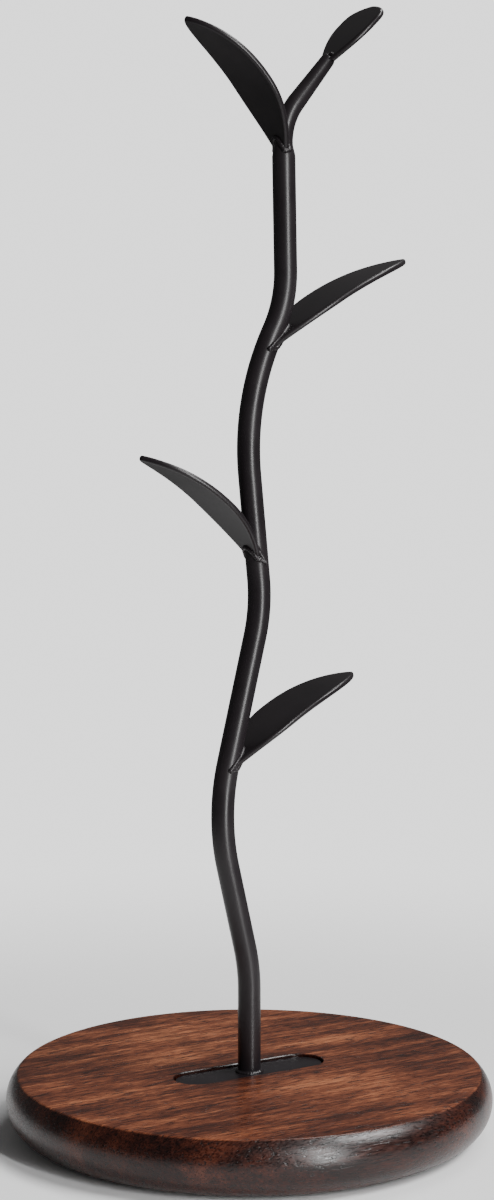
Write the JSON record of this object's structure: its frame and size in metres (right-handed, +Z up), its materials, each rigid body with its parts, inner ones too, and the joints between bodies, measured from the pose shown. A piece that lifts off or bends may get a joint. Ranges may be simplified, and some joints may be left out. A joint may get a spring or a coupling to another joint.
{
  "type": "mug tree",
  "caption": "Standing mug tree: a bent black steel rod with welded sheet-steel leaf hooks on a round wooden base.",
  "frame": {"origin": "on the surface that the stand rests on, under the centre of the round base", "axes": "+Z up along the height; X in the plane of the rod's bends and of all the leaves, +X to the side of the middle right leaf; Y across them"},
  "size_m": [0.17, 0.17, 0.3899],
  "materials": {
    "wood": "dark oiled hardwood, satin, with long streaky grain",
    "powder_coat": "near-black satin powder coat with a very fine texture",
    "zinc": "zinc plated",
    "rubber": "matt"
  },
  "bodies": {
    "root": {"wood_base": "wood", "foot_plate": "powder_coat", "stem": "powder_coat", "top_twig": "powder_coat", "leaf_lower_right": "powder_coat", "leaf_middle_left": "powder_coat", "leaf_middle_right": "powder_coat", "leaf_upper_left": "powder_coat", "leaf_crown": "powder_coat", "weld_foot": "powder_coat", "weld_lower_right": "powder_coat", "weld_middle_left": "powder_coat", "weld_middle_right": "powder_coat", "weld_upper_left": "powder_coat", "weld_crown": "powder_coat", "threaded_bosses": "powder_coat", "screws": "zinc", "washers": "zinc", "pad_back_right": "rubber", "pad_back_left": "rubber", "pad_front_left": "rubber", "pad_front_right": "rubber"}
  },
  "joints": []
}
